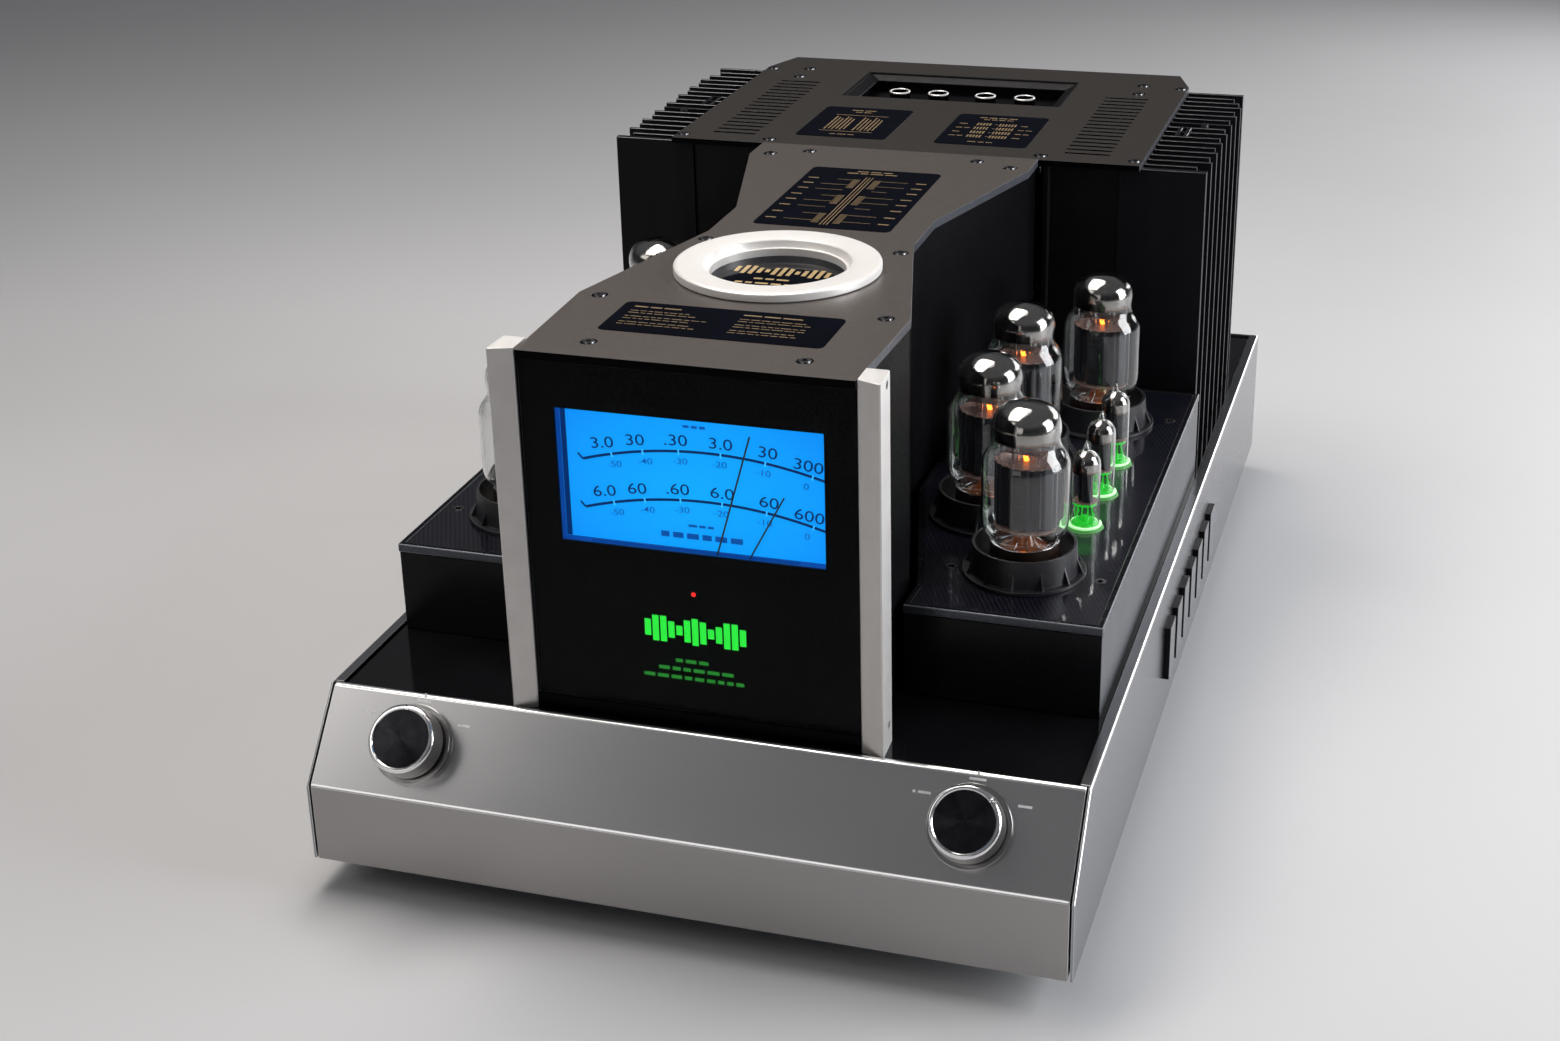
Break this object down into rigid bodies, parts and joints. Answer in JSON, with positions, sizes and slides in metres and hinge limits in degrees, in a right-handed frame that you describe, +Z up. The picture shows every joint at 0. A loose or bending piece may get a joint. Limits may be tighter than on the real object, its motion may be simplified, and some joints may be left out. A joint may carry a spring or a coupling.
{
  "type": "power amplifier",
  "caption": "Free-standing power amplifier with a wedge-fronted base, a glass-fronted meter tower, two decks of exposed valves and a finned rear block.",
  "frame": {"origin": "centre of the bounding box at the floor under the feet", "axes": "+Z up, -Y towards the front fascia and meter, +X to the viewer's right when facing the front"},
  "size_m": [0.453, 0.7696, 0.334],
  "materials": {
    "base_pan": "black powder coat",
    "polished_steel": "polished stainless sheet",
    "gloss_black": "high gloss black",
    "rubber": "moulded rubber",
    "satin_black": "satin black",
    "blue_grey": "satin blue-grey edge",
    "ribbed_deck": "gloss navy-black with fine ribs",
    "collar_black": "satin moulded",
    "ceramic": "glazed ceramic",
    "valve_base": "brown phenolic",
    "clear_glass": "clear",
    "anode_grey": "dark grey carbonised",
    "mica": "translucent mica",
    "getter_chrome": "mirror",
    "heater_glow": "glowing orange",
    "white_socket": "white, lit green from below",
    "chrome": "polished",
    "crinkle_black": "crinkle finish",
    "taupe_plate": "satin taupe",
    "satin_alu": "satin anodised",
    "dark_glass": "polished",
    "mask_black": "matt black behind glass",
    "green_light": "lit green",
    "red_light": "lit red",
    "meter_reveal": "dark blue",
    "meter_blue": "backlit blue dial",
    "moulding_black": "moulded",
    "needle": "black",
    "pearl_alu": "satin, near white",
    "info_glass": "navy-black glass backed panel",
    "screw_black": "blackened steel",
    "trim_knob": "chrome rim, black centre",
    "heatsink_black": "black anodised",
    "gold": "gold plated",
    "nickel": "nickel plated",
    "spun_black": "spun, black anodised",
    "transformer_core": "varnished laminations",
    "capacitor_blue": "sleeved can",
    "board_green": "green solder mask"
  },
  "bodies": {
    "chassis": {"base_pan": "base_pan", "fascia": "polished_steel", "side_panels": "polished_steel", "base_lid": "gloss_black", "feet": "rubber", "side_badges": "satin_black", "deck_bodies": "gloss_black", "deck_trims": "blue_grey", "deck_plates": "ribbed_deck", "tube_collars": "collar_black", "tube_sockets": "ceramic", "tube_bases": "valve_base", "tube_glass": "clear_glass", "tube_anodes": "anode_grey", "tube_micas": "mica", "tube_getters": "getter_chrome", "tube_heaters": "heater_glow", "small_glass": "clear_glass", "small_anodes": "anode_grey", "small_sockets": "white_socket", "cage_inserts": "chrome", "tower_walls": "crinkle_black", "tower_plate": "taupe_plate", "end_caps": "satin_alu", "front_glass": "dark_glass", "front_mask": "mask_black", "emblem_light": "green_light", "standby_lamp": "red_light", "meter_frame": "meter_reveal", "meter_scale": "meter_blue", "meter_movement": "moulding_black", "top_ring": "pearl_alu", "ring_window": "info_glass", "info_plates": "info_glass", "rear_plate": "taupe_plate", "plate_screws": "screw_black", "recess_tray": "satin_black", "trim_pots": "moulding_black", "heatsinks": "heatsink_black", "block_walls": "crinkle_black", "rear_panel": "satin_black", "speaker_posts": "gold", "signal_jacks": "nickel", "mains_inlet": "moulding_black", "knob_bezels": "polished_steel", "rotary_switches": "moulding_black", "mains_transformer": "transformer_core", "output_transformers": "transformer_core", "capacitors": "capacitor_blue", "circuit_boards": "board_green"},
    "mode_knob": {"mode_knob": "satin_alu", "mode_inlay": "spun_black"},
    "power_knob": {"power_knob": "satin_alu", "power_inlay": "spun_black"},
    "trim_knob_1": {"trim_knob_1": "trim_knob"},
    "trim_knob_2": {"trim_knob_2": "trim_knob"},
    "trim_knob_3": {"trim_knob_3": "trim_knob"},
    "trim_knob_4": {"trim_knob_4": "trim_knob"},
    "needle_long": {"needle_long": "needle"},
    "needle_short": {"needle_short": "needle"}
  },
  "joints": [
    {"name": "mode_turn", "type": "hinge", "parent": "chassis", "child": "mode_knob", "pos_m": [-0.162, -0.35689, 0.09242], "axis": [0, -0.7628, 0.6467], "range_deg": [-45, 45]},
    {"name": "power_turn", "type": "hinge", "parent": "chassis", "child": "power_knob", "pos_m": [0.162, -0.35689, 0.09242], "axis": [0, -0.7628, 0.6467], "range_deg": [0, 90]},
    {"name": "trim_turn_1", "type": "hinge", "parent": "chassis", "child": "trim_knob_1", "pos_m": [-0.0485, 0.28683, 0.3139], "axis": [0, 0, 1], "range_deg": [-135, 135]},
    {"name": "trim_turn_2", "type": "hinge", "parent": "chassis", "child": "trim_knob_2", "pos_m": [-0.0183, 0.28683, 0.3139], "axis": [0, 0, 1], "range_deg": [-135, 135]},
    {"name": "trim_turn_3", "type": "hinge", "parent": "chassis", "child": "trim_knob_3", "pos_m": [0.0183, 0.28683, 0.3139], "axis": [0, 0, 1], "range_deg": [-135, 135]},
    {"name": "trim_turn_4", "type": "hinge", "parent": "chassis", "child": "trim_knob_4", "pos_m": [0.0485, 0.28683, 0.3139], "axis": [0, 0, 1], "range_deg": [-135, 135]},
    {"name": "needle_long_swing", "type": "hinge", "parent": "chassis", "child": "needle_long", "pos_m": [-0.008, -0.32317, 0.143], "axis": [0, 1, 0], "range_deg": [-41, 16]},
    {"name": "needle_short_swing", "type": "hinge", "parent": "chassis", "child": "needle_short", "pos_m": [-0.008, -0.32117, 0.143], "axis": [0, 1, 0], "range_deg": [-58, 11]}
  ]
}
